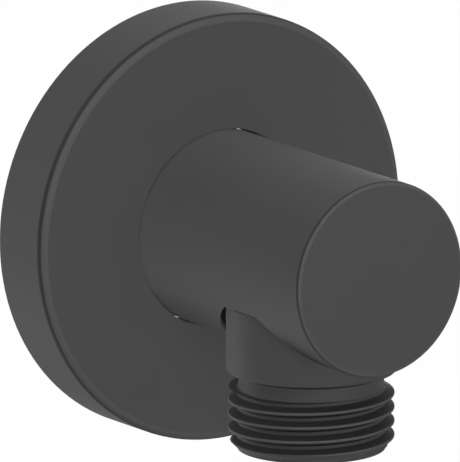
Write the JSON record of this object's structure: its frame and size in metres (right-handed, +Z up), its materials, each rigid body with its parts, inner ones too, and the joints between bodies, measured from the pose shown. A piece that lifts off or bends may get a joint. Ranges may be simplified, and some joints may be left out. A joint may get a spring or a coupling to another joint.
{
  "type": "wall outlet elbow",
  "caption": "Round wall outlet elbow for a shower hose: closed barrel on a push-on rosette, threaded inlet behind, threaded outlet with a check valve below.",
  "frame": {"origin": "where the barrel's axis meets the wall face", "axes": "+Y into the wall along the inlet thread, -Y out of the wall along the barrel, +Z up, the outlet points along -Z"},
  "size_m": [0.055, 0.0558, 0.055],
  "materials": {
    "dark_coat": "matte dark grey coat on brass",
    "rubber": "black seal rubber",
    "valve_plastic": "natural white moulded plastic",
    "spring_steel": "bright spring wire"
  },
  "bodies": {
    "elbow": {"elbow_body": "dark_coat", "inlet_washer": "rubber", "outlet_nipple": "dark_coat", "nipple_seal": "rubber", "valve_cage": "valve_plastic", "cage_seal": "rubber", "valve_guide": "valve_plastic", "valve_spring": "spring_steel"},
    "rosette": {"wall_rosette": "dark_coat", "rosette_grip_ring": "rubber"},
    "poppet": {"valve_poppet": "valve_plastic", "poppet_seal": "rubber"}
  },
  "joints": [
    {"name": "rosette_slide", "type": "slide", "parent": "elbow", "child": "rosette", "axis": [0, -1, 0], "range_m": [0, 0.0085]},
    {"name": "poppet_slide", "type": "slide", "parent": "elbow", "child": "poppet", "axis": [0, 0, -1], "range_m": [0, 0.0022], "stiffness_N_per_m": 150, "springref_m": -0.003, "deforming": ["valve_spring"]}
  ]
}
